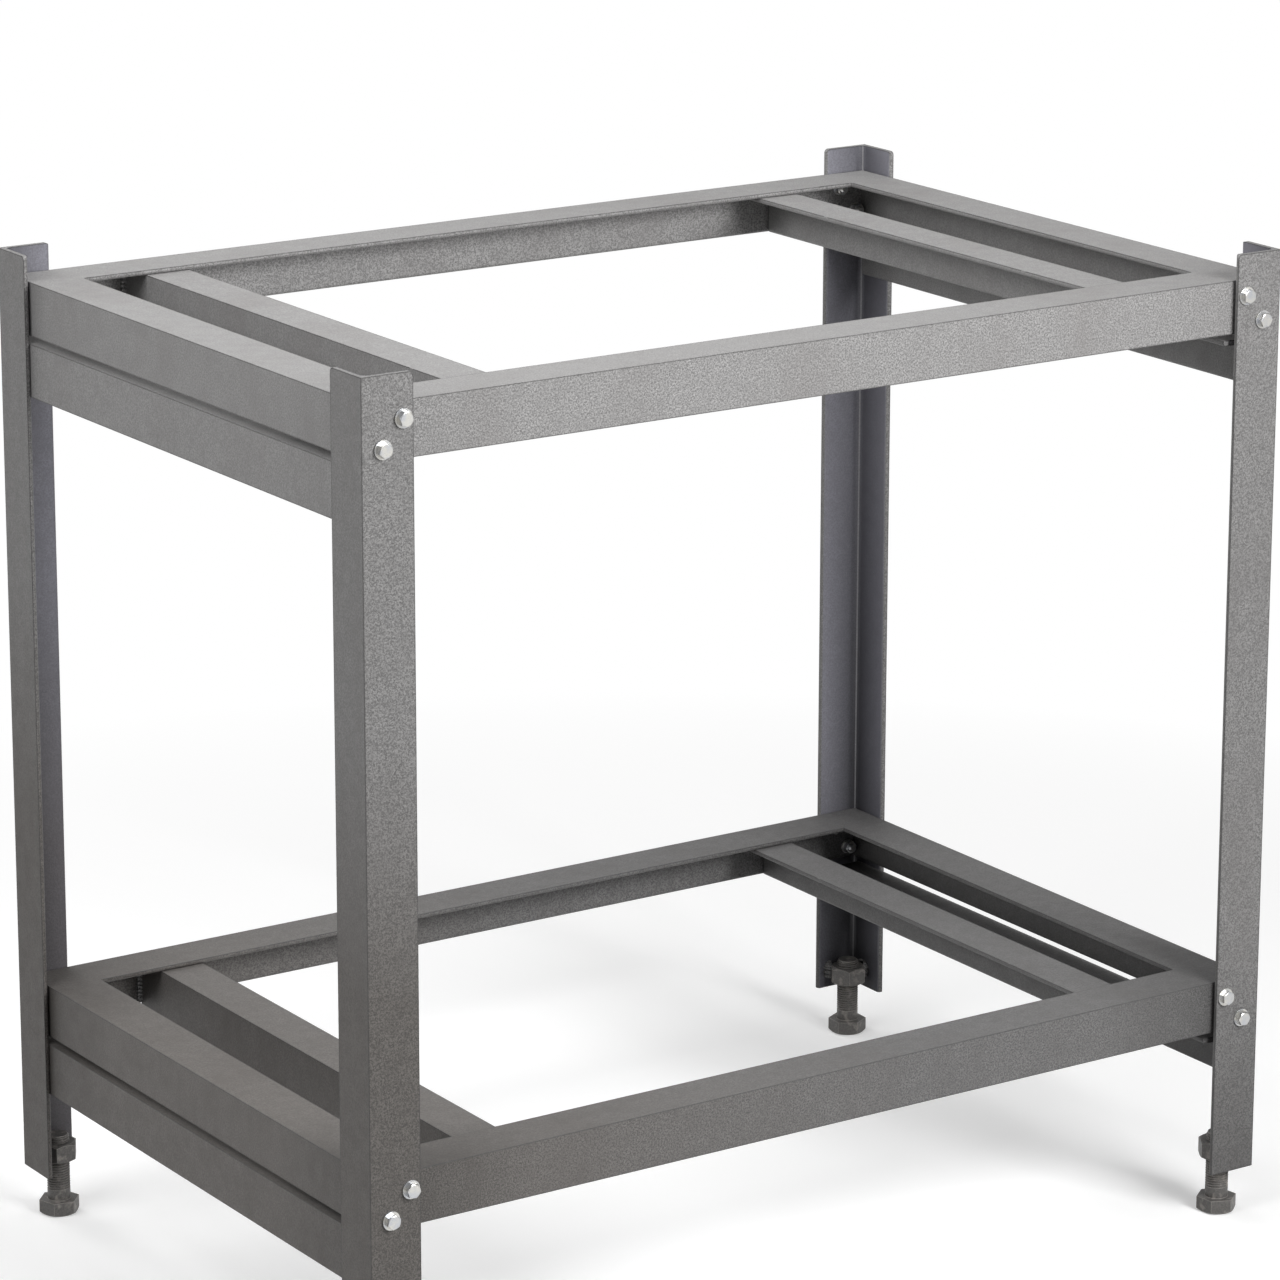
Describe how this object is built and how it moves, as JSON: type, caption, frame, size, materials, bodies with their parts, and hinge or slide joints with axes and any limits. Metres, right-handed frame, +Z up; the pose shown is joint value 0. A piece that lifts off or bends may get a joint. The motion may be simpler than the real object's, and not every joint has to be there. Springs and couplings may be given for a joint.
{
  "type": "surface plate stand",
  "caption": "Bolted angle-iron stand for a surface plate, with a lower shelf frame, crossbars, side beams and levelling bolt feet.",
  "frame": {"origin": "on the floor under the middle of the stand", "axes": "+X along the length, -Y to the front, +Z up"},
  "size_m": [0.98, 0.6638, 0.94],
  "materials": {
    "leg_paint": "hammered satin paint",
    "frame_paint": "hammered satin paint",
    "foot_paint": "satin paint, worn on the thread",
    "zinc": "bright zinc plate"
  },
  "bodies": {
    "stand": {"leg_front_left": "leg_paint", "leg_front_right": "leg_paint", "leg_back_left": "leg_paint", "leg_back_right": "leg_paint", "upper_front_rail": "frame_paint", "upper_back_rail": "frame_paint", "upper_left_rail": "frame_paint", "upper_right_rail": "frame_paint", "upper_left_crossbar": "frame_paint", "upper_right_crossbar": "frame_paint", "lower_front_rail": "frame_paint", "lower_back_rail": "frame_paint", "lower_left_rail": "frame_paint", "lower_right_rail": "frame_paint", "lower_left_crossbar": "frame_paint", "lower_right_crossbar": "frame_paint", "upper_left_beam": "frame_paint", "upper_right_beam": "frame_paint", "lower_left_beam": "frame_paint", "lower_right_beam": "frame_paint", "upper_bolts": "zinc", "upper_washers": "zinc", "upper_nuts": "zinc", "lower_bolts": "zinc", "lower_washers": "zinc", "lower_nuts": "zinc", "foot_nut_front_left": "foot_paint", "foot_nut_front_right": "foot_paint", "foot_nut_back_left": "foot_paint", "foot_nut_back_right": "foot_paint", "foot_nut_welds": "foot_paint", "beam_welds": "frame_paint", "crossbar_welds": "frame_paint"},
    "foot_front_left": {"levelling_bolt_front_left": "foot_paint"},
    "foot_front_right": {"levelling_bolt_front_right": "foot_paint"},
    "foot_back_left": {"levelling_bolt_back_left": "foot_paint"},
    "foot_back_right": {"levelling_bolt_back_right": "foot_paint"}
  },
  "joints": [
    {"name": "level_front_left", "type": "slide", "parent": "stand", "child": "foot_front_left", "axis": [0, 0, 1], "range_m": [-0.013, 0.03]},
    {"name": "level_front_right", "type": "slide", "parent": "stand", "child": "foot_front_right", "axis": [0, 0, 1], "range_m": [-0.013, 0.03]},
    {"name": "level_back_left", "type": "slide", "parent": "stand", "child": "foot_back_left", "axis": [0, 0, 1], "range_m": [-0.013, 0.03]},
    {"name": "level_back_right", "type": "slide", "parent": "stand", "child": "foot_back_right", "axis": [0, 0, 1], "range_m": [-0.013, 0.03]}
  ]
}
